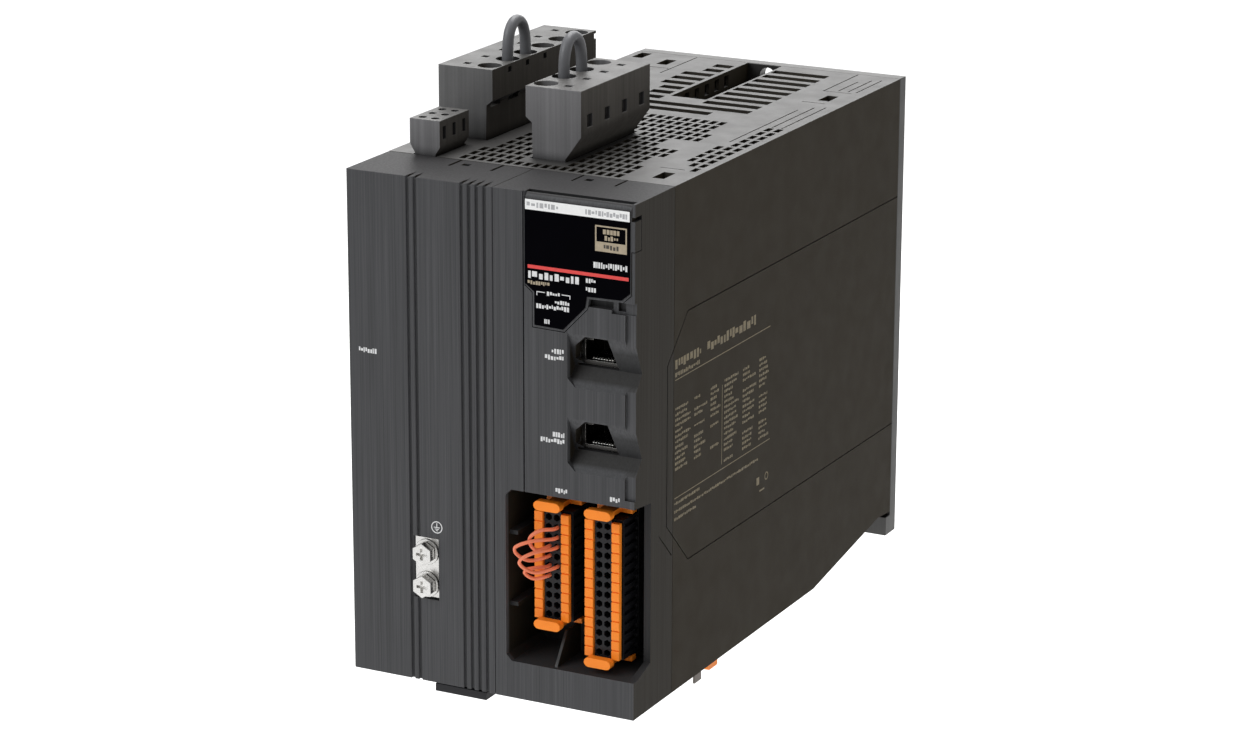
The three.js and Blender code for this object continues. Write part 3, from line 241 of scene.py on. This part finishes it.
def streaked_film(name, front, side, top, groove_highlight, roughness):
    """Cover with a dark film of fine upright streaks on its front, and plain sides and top.

    Surfaces that are sunk behind the front are darker, as painted shade, the walls
    of shallow grooves are lighter, as a painted highlight, and edges carry a painted
    highlight. How much lighter the top is than the sides is painted light.
    """
    shader = Shader(name)
    fine = shader.spread(shader.noise(0.55, detail=3, stretch=(1, 1, 0.006)), 0.70, 1.34)
    broad = shader.spread(shader.noise(2.6, detail=4, stretch=(1, 1, 0.012)), 0.86, 1.15)
    broken = shader.spread(shader.noise(1.1, detail=5, stretch=(1, 1, 0.05)), 0.94, 1.06)
    streaks = shader.maths("MULTIPLY", shader.maths("MULTIPLY", fine, broad), broken)
    # Painted highlight: walls of shallow grooves inside the front take the lighter groove colour.
    shallow = shader.spread(shader.distance.outputs["Y"], 1.0, 0.0, *GROOVE_DEPTHS)
    inner = shader.spread(shader.absolute(shader.distance.outputs["X"]), 1.0, 0.0, *OUTER_SIDES)
    wall = shader.mixed(shader.maths("MULTIPLY", shallow, inner), side, groove_highlight)
    plain = shader.mixed(shader.faces("Z"), wall, top)
    # Painted shade on forward faces sunk behind the front; from here the streaks factor carries it too.
    sunk = shader.spread(shader.distance.outputs["Y"], 1.0, SUNK_SHADE, *SUNK_DEPTHS)
    streaks = shader.maths("MULTIPLY", streaks, sunk)
    colour = shader.mixed(shader.faces("Y"), plain, shader.scaled(front, streaks))
    # Painted highlight: edges are drawn brighter than the flat faces.
    painted_edge_highlight = shader.spread(shader.edge(0.3), 1.0, 1.9, 0.0, 1.0)
    smears = shader.noise(0.8, detail=3, stretch=(1, 1, 0.01))
    rough = shader.spread(smears, roughness - 0.06, roughness + 0.06)
    normal = shader.bump(shader.noise(0.5, detail=3, stretch=(1, 1, 0.008)), 0.012)
    level = shader.spread(shader.faces("Y"), 0.06, 0.4, 0.0, 1.0)
    return shader.finish(shader.scaled(colour, painted_edge_highlight), rough, normal, Specular_IOR_Level=level)


def gloss_plastic(name, colour, roughness, sheen=0.5):
    """Glossy cover with the faint waviness of a moulded sheet."""
    shader = Shader(name)
    shade = shader.spread(shader.noise(14, detail=3), 0.85, 1.15)
    rough = shader.spread(shader.noise(5, detail=6), roughness - 0.03, roughness + 0.05)
    normal = shader.bump(shader.noise(12, detail=1), 0.015)
    return shader.finish(shader.scaled(colour, shade), rough, normal, Specular_IOR_Level=sheen)


def worked_metal(name, colour, roughness, lines=(1, 1, 0.03), depth=0.012, glint=1.18):
    """Metal with rolling or brushing lines, dull patches, and a painted glint on its edges."""
    shader = Shader(name)
    brushed = shader.noise(0.5, detail=4, stretch=lines)
    patches = shader.noise(8, detail=5)
    shade = shader.maths(
        "MULTIPLY", shader.spread(brushed, 0.88, 1.08), shader.spread(patches, 0.9, 1.06))
    # Painted glint: edges are drawn up to glint times brighter than the flat faces.
    painted_edge_highlight = shader.spread(shader.edge(0.25), 1.0, glint, 0.0, 1.0)
    even = shader.spread(brushed, roughness - 0.05, roughness + 0.05)
    rough = shader.maths("ADD", even, shader.spread(patches, -0.04, 0.06))
    normal = shader.bump(brushed, depth)
    shade = shader.maths("MULTIPLY", shade, painted_edge_highlight)
    return shader.finish(shader.scaled(colour, shade), rough, normal, Metallic=1.0)


def circuit_board(name):
    """Green solder mask over faint copper tracks."""
    shader = Shader(name)
    tracks = shader.spread(shader.noise(1.6, detail=2, stretch=(1, 1, 0.3)), 0.0, 1.0, 0.5, 0.53)
    colour = shader.mixed(tracks, rgba(0.008, 0.07, 0.03), rgba(0.02, 0.13, 0.06))
    rough = shader.spread(shader.noise(4, detail=4), 0.3, 0.45)
    return shader.finish(colour, rough, shader.bump(tracks, 0.03), Coat_Weight=0.3)


def printed_ink(name, colour, cover=0.12):
    """Screen-printed ink, slightly uneven and matt."""
    shader = Shader(name)
    patches = shader.spread(shader.noise(1.2, detail=4), 1 - cover, 1 + cover)
    rough = shader.spread(shader.noise(0.7, detail=3), 0.45, 0.6)
    normal = shader.bump(shader.noise(0.3, detail=2), 0.006)
    return shader.finish(shader.scaled(colour, patches), rough, normal)


def studio_floor(name):
    """Pale painted floor."""
    shader = Shader(name)
    shade = shader.spread(shader.noise(300, detail=3), 0.985, 1.0)
    rough = shader.spread(shader.noise(120, detail=4), 0.75, 0.85)
    normal = shader.bump(shader.noise(3, detail=3), 0.02)
    return shader.finish(shader.scaled((0.92, 0.92, 0.92), shade), rough, normal)


BODY_COLOUR = (0.035, 0.029, 0.0205)
ALUMINIUM = worked_metal("aluminium", (0.09, 0.089, 0.087), 0.48)
SLOT_MATERIALS = {
    # The film's top is a neutral grey, and its being lighter than the brown sides is painted light.
    "case_front": streaked_film(
        "front_film", (0.045, 0.0452, 0.048), rgba(0.024, 0.020, 0.0145), rgba(0.039, 0.038, 0.039),
        rgba(0.085, 0.086, 0.090), 0.5),
    # The top is a neutral grey, and its being lighter than the brown sides is painted light.
    "case_body": moulded_plastic(
        "case_plastic", BODY_COLOUR, 0.52, mottle=0.03, edge_highlight=0.6, sheen=0.55, flank=0.03, cavity=0.5,
        side=BODY_COLOUR, top=(0.044, 0.042, 0.040)),
    # The sides and top are darker than the front as painted shade.
    "plug_plastic": moulded_plastic(
        "plug_plastic", (0.108, 0.107, 0.107), 0.5, grain=0.4, sheen=0.4, flank=0.03, streaks=0.14,
        cavity=0.8, side=(0.072, 0.066, 0.058), top=(0.062, 0.060, 0.057)),
    "black_plastic": moulded_plastic(
        "black_plastic", (0.010, 0.010, 0.012), 0.45, grain=0.35, sheen=0.3, flank=0.15),
    "door_gloss": gloss_plastic("door_gloss", (0.0010, 0.0009, 0.0018), 0.3, sheen=0.012),
    "orange_plastic": moulded_plastic(
        "orange_plastic", (1.0, 0.265, 0.018), 0.4, mottle=0.04, edge_highlight=0.12, sheen=0.3, flank=0.2),
    "jumper_red": moulded_plastic("jumper_insulation", (0.95, 0.25, 0.12), 0.4, mottle=0.07, edge_highlight=0.0),
    "link_grey": moulded_plastic("link_insulation", (0.135, 0.137, 0.145), 0.4, mottle=0.06, edge_highlight=0.0),
    "aluminium": ALUMINIUM,
    "bright_steel": worked_metal(
        "nickel_plate", (0.70, 0.69, 0.67), 0.26, lines=(1, 1, 1), depth=0.006),
    "board_green": circuit_board("circuit_board"),
    "sleeve_black": gloss_plastic("shrink_sleeve", (0.02, 0.02, 0.023), 0.35),
    "module_black": moulded_plastic("module_resin", (0.018, 0.018, 0.02), 0.5, grain=0.3),
}
# The sides and top are darker than the front as painted shade.
PALE_PLUG = moulded_plastic(
    "pale_plug_plastic", (0.185, 0.182, 0.186), 0.5, grain=0.4, sheen=0.4, flank=0.03, streaks=0.16,
    cavity=0.8, side=(0.100, 0.093, 0.084), top=(0.078, 0.075, 0.072))
# Near-black so the jack's opening reads dark, painted shade, with a strong painted glint on its edges.
JACK_SHELL = worked_metal("jack_shell", (0.06, 0.058, 0.055), 0.3, depth=0.02, glint=12)
CONTACT_PLATE = worked_metal("contact_plate", (0.95, 0.92, 0.86), 0.2, lines=(1, 1, 1), depth=0.004)
DULL_STEEL = worked_metal("dull_steel", (0.16, 0.145, 0.13), 0.5)
# Near-black heat sink so the vent slots over it read dark: painted shade.
PAINTED_SHADE_FINS = worked_metal("painted_shade_fins", (0.03, 0.03, 0.032), 0.5)
NODE_MATERIALS = {
    "brake_plug": PALE_PLUG,
    "control_supply_plug": PALE_PLUG,
    "network_jack_upper": JACK_SHELL,
    "network_jack_lower": JACK_SHELL,
    "heat_sink": PAINTED_SHADE_FINS,
    "shield_clip": DULL_STEEL,
}

WHITE_INK = printed_ink("white_ink", (0.72, 0.72, 0.72))
BAND_INK = printed_ink("band_white", (0.88, 0.88, 0.87), cover=0.03)
PALE_GREY_INK = printed_ink("pale_grey_ink", (0.42, 0.42, 0.43))
DARK_INK = printed_ink("dark_ink", (0.05, 0.042, 0.032))
TAN_INK = printed_ink("tan_ink", (0.40, 0.33, 0.23))
SIDE_INK = printed_ink("side_tan_ink", (0.155, 0.118, 0.052), cover=0.3)
RED_INK = printed_ink("red_ink", (0.75, 0.055, 0.05), cover=0.06)


# ------------------------------------------------------------ CAD nodes

# Rounding of each node's edges in millimetres, where it isn't the usual one.
USUAL_ROUNDING = 0.15
MERGE_DISTANCE = 0.001 * MM
FLAT_ANGLE = math.radians(0.5)
SHARP_ANGLE = math.radians(40)
ROUNDING = {
    "power_front_cover": 0.25,
    "control_front_cover": 0.2,
    "main_housing": 0.2,
    "mounting_plate": 0.3,
    "supply_plug": 0.3,
    "brake_plug": 0.3,
    "control_supply_plug": 0.2,
    "display_door": 0.12,
    "door_label_film": 0.07,
    "network_jack_upper": 0.08,
    "network_jack_lower": 0.08,
}
ROUND_NODES = [name for name in frame["nodes"] if "wire" in name]


def rounded(node, width):
    """Merges the node's split corners and flat triangles, then rounds its edges."""
    weld = node.modifiers.new("weld", "WELD")
    weld.merge_threshold = MERGE_DISTANCE
    flat = node.modifiers.new("flat", "DECIMATE")
    flat.decimate_type = "DISSOLVE"
    flat.angle_limit = FLAT_ANGLE
    bevel = node.modifiers.new("rounding", "BEVEL")
    bevel.width = width * MM
    bevel.segments = 2
    bevel.limit_method = "ANGLE"
    bevel.angle_limit = SHARP_ANGLE
    bevel.use_clamp_overlap = True
    shading = node.modifiers.new("shading", "WEIGHTED_NORMAL")
    shading.keep_sharp = True


def smoothed(node):
    """Turns a many-sided wire into a round one."""
    weld = node.modifiers.new("weld", "WELD")
    weld.merge_threshold = MERGE_DISTANCE
    smooth = node.modifiers.new("smooth", "SUBSURF")
    smooth.levels = 2
    smooth.render_levels = 2


def dress_nodes():
    for row in frame["record"]["subparts"]:
        node = frame["nodes"][row["node"]]
        usual = SLOT_MATERIALS[row["material_slot"]]
        node.material_slots[0].material = NODE_MATERIALS.get(row["node"], usual)
        node.data.polygons.foreach_set("use_smooth", [True] * len(node.data.polygons))
        if row["node"] in ROUND_NODES:
            smoothed(node)
        else:
            rounded(node, ROUNDING.get(row["node"], USUAL_ROUNDING))


# ------------------------------------------------------------ printed marks

# How far ink stands out of a surface, and how far it reaches into it, in millimetres.
INK = 0.02
SINK = 0.05


def on_front(x, height, proud):
    return Vector((x * MM, FRONT - proud * MM, UNDERSIDE + height * MM))


def on_film(x, height, proud):
    return Vector((x * MM, FILM_FRONT - proud * MM, UNDERSIDE + height * MM))


def on_print(x, height, proud):
    """On top of the ink that is already on the film."""
    return on_film(x, height, proud + INK)


def on_side(y, height, proud):
    return Vector((RIGHT + proud * MM, y * MM, UNDERSIDE + height * MM))


def rectangle(u0, u1, v0, v1):
    return [(u0, v0), (u1, v0), (u1, v1), (u0, v1)]


def centred_bar(u, v, width, height):
    return rectangle(u - width / 2, u + width / 2, v - height / 2, v + height / 2)


def circle(u, v, radius, sides=32):
    angles = [2 * math.pi * k / sides for k in range(sides)]
    return [(u + radius * math.cos(a), v + radius * math.sin(a)) for a in angles]


def prism(mesh, outline, place):
    """Closed thin solid over an outline in a face's own two axes."""
    low = [mesh.verts.new(place(u, v, -SINK)) for u, v in outline]
    high = [mesh.verts.new(place(u, v, INK)) for u, v in outline]
    mesh.faces.new(low)
    mesh.faces.new(high)
    for k in range(len(outline)):
        n = (k + 1) % len(outline)
        mesh.faces.new((low[k], low[n], high[n], high[k]))


def ring(mesh, outer, inner, place):
    """Closed thin solid between two outlines with the same number of points."""
    loops = [[mesh.verts.new(place(u, v, proud)) for u, v in outline]
             for outline in (outer, inner) for proud in (-SINK, INK)]
    outer_low, outer_high, inner_low, inner_high = loops
    walls = [
        (outer_low, outer_high), (outer_high, inner_high),
        (inner_high, inner_low), (inner_low, outer_low),
    ]
    for k in range(len(outer)):
        n = (k + 1) % len(outer)
        for first, second in walls:
            mesh.faces.new((first[k], first[n], second[n], second[k]))


def add_piece(name, mesh, material, body):
    """Turns a mesh under construction into a piece that moves with a body."""
    data = bpy.data.meshes.new(name)
    mesh.to_mesh(data)
    mesh.free()
    data.materials.append(material)
    piece = bpy.data.objects.new(name, data)
    bpy.context.scene.collection.objects.link(piece)
    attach(piece, body)


def add_marks(name, place, material, body, outlines=(), rings=()):
    mesh = bmesh.new()
    for outline in outlines:
        prism(mesh, outline, place)
    for outer, inner in rings:
        ring(mesh, outer, inner, place)
    bmesh.ops.recalc_face_normals(mesh, faces=mesh.faces)
    add_piece(name, mesh, material, body)


def block_row(draw, u0, u1, v0, v1, widest=1.1):
    """A row of plain blocks of uneven width, in place of a line of lettering."""
    blocks = []
    u = u0
    while u < u1 - 0.25:
        width = min(draw.uniform(0.45, 1.0) * widest, u1 - u)
        low = v0 + draw.choice((0.0, 0.0, 0.25)) * (v1 - v0)
        high = v1 - draw.choice((0.0, 0.0, 0.25)) * (v1 - v0)
        blocks.append(rectangle(u, u + width, low, high))
        u += width + draw.uniform(0.2, 0.38) * widest
    return blocks


# Rows of blocks on the front, each as left, right, low and high.
LAMP_ROW = (-50.8, -43.5, 116.1, 117.9)
PORT_ROWS = [
    (24.0, 28.5, 125.6, 127.3), (21.4, 28.5, 123.3, 125.0),
    (24.3, 28.7, 96.6, 98.3), (19.7, 28.7, 94.3, 96.0),
]
PLUG_ROWS = [(25.3, 30.1, 76.9, 78.6), (45.9, 49.6, 76.9, 78.6)]
EARTH_SYMBOL = (-20.9, 57.2)


def add_case_marks(draw):
    rows = [LAMP_ROW] + PORT_ROWS + PLUG_ROWS
    captions = [block for box in rows for block in block_row(draw, *box, widest=1.0)]
    add_marks("front_captions", on_front, WHITE_INK, "case", captions)
    x, z = EARTH_SYMBOL
    stem_and_bar = [
        (x - 1.2, z - 0.2), (x + 1.2, z - 0.2), (x + 1.2, z + 0.1), (x + 0.15, z + 0.1),
        (x + 0.15, z + 1.5), (x - 0.15, z + 1.5), (x - 0.15, z + 0.1), (x - 1.2, z + 0.1),
    ]
    bars = [stem_and_bar, centred_bar(x, z - 0.65, 1.6, 0.28), centred_bar(x, z - 1.2, 0.8, 0.28)]
    surround = [(circle(x, z, 2.2), circle(x, z, 1.85))]
    add_marks("earth_symbol", on_front, WHITE_INK, "case", bars, surround)


def add_door_marks(draw):
    def door_marks(name, material, outlines=(), rings=()):
        add_marks(name, on_film, material, "display_door", outlines, rings)

    door_marks("door_band", BAND_INK, [rectangle(14.3, 53.1, 174.1, 177.6)])
    band_rows = block_row(draw, 14.9, 26.8, 175.0, 176.7, widest=1.5)
    band_rows += block_row(draw, 36.8, 52.4, 174.9, 176.6)
    add_marks("band_marks", on_print, PALE_GREY_INK, "display_door", band_rows)
    door_marks("door_red_line", RED_INK, [rectangle(15.2, 52.8, 154.1, 155.3)])
    frame_outer = rectangle(40.4, 52.1, 163.0, 171.8)
    frame_inner = rectangle(40.9, 51.6, 166.3, 171.3)
    door_marks("rating_frame", TAN_INK, rings=[(frame_outer, frame_inner)])
    rating = block_row(draw, 43.3, 49.6, 169.0, 170.6) + block_row(draw, 43.9, 48.9, 166.9, 168.5)
    door_marks("rating_marks", TAN_INK, rating)
    lower = block_row(draw, 43.6, 49.2, 163.8, 165.4)
    add_marks("rating_lower_marks", on_print, DARK_INK, "display_door", lower)
    big = block_row(draw, 15.4, 34.4, 150.7, 153.2, widest=2.0)
    small = [
        (37.0, 41.0, 151.7, 153.2), (37.0, 40.8, 148.7, 150.2),
        (22.4, 27.3, 145.4, 146.8), (25.4, 30.8, 142.9, 144.2), (18.4, 31.2, 140.7, 142.3),
        (21.4, 23.6, 135.7, 137.2), (39.8, 52.3, 157.2, 159.2),
    ]
    white = big + [block for box in small for block in block_row(draw, *box, widest=0.9)]
    brackets = [
        [(18.5, 145.1), (18.8, 145.1), (18.8, 146.2), (21.6, 146.2), (21.6, 146.5), (18.5, 146.5)],
        [(31.2, 145.1), (31.2, 146.5), (28.0, 146.5), (28.0, 146.2), (30.9, 146.2), (30.9, 145.1)],
    ]
    door_marks("door_captions", WHITE_INK, white + brackets)
    door_marks("door_tan_caption", TAN_INK, block_row(draw, 15.2, 23.4, 148.6, 149.9, widest=0.9))


# ------------------------------------------------------------ port contacts

CONTACTS = 8
CONTACT_PITCH = 1.02
CONTACT_WIDTH = 0.45
CONTACT_THICKNESS = 0.25
# Both ends of a contact, as depth behind the jack's face and height above its floor.
CONTACT_FRONT, CONTACT_BACK = (1.2, 1.7), (7.5, 2.6)


def add_contacts(jack):
    """Row of sprung contacts that slope up from the floor of a network jack."""
    low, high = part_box(jack)
    middle = (low.x + high.x) / 2
    upper = [(depth, rise + CONTACT_THICKNESS) for depth, rise in (CONTACT_BACK, CONTACT_FRONT)]
    side_profile = [CONTACT_FRONT, CONTACT_BACK] + upper
    mesh = bmesh.new()
    for index in range(CONTACTS):
        centre = middle + (index - (CONTACTS - 1) / 2) * CONTACT_PITCH * MM
        loops = []
        for x in (centre - CONTACT_WIDTH / 2 * MM, centre + CONTACT_WIDTH / 2 * MM):
            corners = [(x, low.y + depth * MM, low.z + rise * MM) for depth, rise in side_profile]
            loops.append([mesh.verts.new(corner) for corner in corners])
        left, right = loops
        mesh.faces.new(left)
        mesh.faces.new(right)
        for k in range(len(side_profile)):
            n = (k + 1) % len(side_profile)
            mesh.faces.new((left[k], left[n], right[n], right[k]))
    bmesh.ops.recalc_face_normals(mesh, faces=mesh.faces)
    add_piece(f"{jack}_contacts", mesh, CONTACT_PLATE, "case")


# ------------------------------------------------------------ side print

TABLE_ROW = 1.94
TABLE_TOP = 102.0
LEFT_COLUMNS = [(-194.4, -182.0), (-179.75, -169.0), (-167.0, -158.5)]
RIGHT_COLUMNS = [(-156.0, -143.7), (-141.0, -130.0), (-127.5, -118.75)]
# Where the side print starts, towards the front, and where its table ends.
PRINT_START, TABLE_END = -194.75, -118.75


def table_lines(draw, columns, rows):
    lines = []
    for index in range(rows):
        v = TABLE_TOP - index * TABLE_ROW
        for first, last in columns:
            if draw.random() < 0.85:
                reach = first + draw.uniform(0.45, 1.0) * (last - first)
                lines += block_row(draw, first, reach, v - 0.55, v + 0.45, widest=1.3)
    return lines


def add_side_print(draw):
    lines = block_row(draw, PRINT_START, -175.0, 116.2, 119.4, widest=2.6)
    lines += block_row(draw, -170.0, -131.0, 116.0, 119.6, widest=2.8)
    lines += block_row(draw, PRINT_START, -175.6, 113.4, 114.9, widest=1.3)
    lines += [rectangle(PRINT_START, TABLE_END, 112.2, 112.5), rectangle(PRINT_START, -118.0, 70.1, 70.4)]
    lines += [rectangle(-157.9, -157.6, 72.0, 101.0)]
    lines += table_lines(draw, LEFT_COLUMNS, 12)
    lines += table_lines(draw, RIGHT_COLUMNS, 16)
    for width, v in ((20, 68.3), (67, 65.4), (17, 62.7)):
        lines += block_row(draw, PRINT_START, PRINT_START + width, v - 0.5, v + 0.5, widest=1.3)
    lines += [centred_bar(-127.5, 56.9, 2.2, 2.8), centred_bar(-124.0, 52.8, 4.0, 0.6)]
    symbols = [(circle(-120.3, 57.0, 1.5), circle(-120.3, 57.0, 1.1))]
    add_marks("side_print", on_side, SIDE_INK, "case", lines, symbols)


# ------------------------------------------------------------ studio


FLOOR_DROP = 300 * MM
FLOOR_SIZE = 10.0


def add_floor():
    bpy.ops.mesh.primitive_plane_add(size=FLOOR_SIZE, location=(0, 0, CAD_BOX[0].z - FLOOR_DROP))
    floor = bpy.context.object
    floor.name = "studio_floor"
    floor.data.materials.append(studio_floor("floor_paint"))


def add_light(name, place, aim, size, power, colour=(1, 1, 1)):
    """Soft box: a square area light at a place, pointed at an aim, both in metres."""
    data = bpy.data.lights.new(name, "AREA")
    data.shape = "SQUARE"
    data.size = size
    data.energy = power
    data.color = colour
    light = bpy.data.objects.new(name, data)
    light.location = place
    light.rotation_mode = "QUATERNION"
    light.rotation_quaternion = (Vector(aim) - Vector(place)).to_track_quat("-Z", "Y")
    bpy.context.scene.collection.objects.link(light)


def add_lights():
    middle = (0, -0.11, 0)
    add_light("key_light", (-0.9, -1.3, 1.1), middle, 1.2, 14, (0.96, 0.98, 1.0))
    add_light("back_light", (-0.55, 1.4, 0.72), (0, -0.05, 0.09), 1.3, 11)
    add_light("overhead_light", (-0.7, 1.6, 3.6), (-0.7, 1.6, 0), 3.2, 185)
    world = bpy.data.worlds.new("studio")
    world.use_nodes = True
    world.node_tree.nodes["Background"].inputs["Color"].default_value = rgba(1.0, 1.0, 1.0)
    world.node_tree.nodes["Background"].inputs["Strength"].default_value = 0.4
    bpy.context.scene.world = world


CAMERA_AIM = Vector((-12.3, -100.0, -9.2)) * MM
CAMERA_DISTANCE = 1.393


def add_camera():
    azimuth, elevation, roll = math.radians(27.0), math.radians(16.64), math.radians(0.19)
    away = Vector((
        math.sin(azimuth) * math.cos(elevation),
        -math.cos(azimuth) * math.cos(elevation),
        math.sin(elevation),
    ))
    camera = bpy.data.objects.new("camera", bpy.data.cameras.new("camera"))
    camera.data.lens = 108.8
    camera.data.sensor_width = 36
    camera.location = CAMERA_AIM + away * CAMERA_DISTANCE
    turn = Matrix.Rotation(roll, 3, "Z").to_quaternion()
    camera.rotation_mode = "QUATERNION"
    camera.rotation_quaternion = (-away).to_track_quat("-Z", "Y") @ turn
    bpy.context.scene.collection.objects.link(camera)
    bpy.context.scene.camera = camera


dress_nodes()
add_case_marks(random.Random(3))
add_door_marks(random.Random(5))
add_contacts("network_jack_upper")
add_contacts("network_jack_lower")
add_side_print(random.Random(7))
add_floor()
add_lights()
add_camera()
bpy.context.scene.view_settings.view_transform = "Standard"
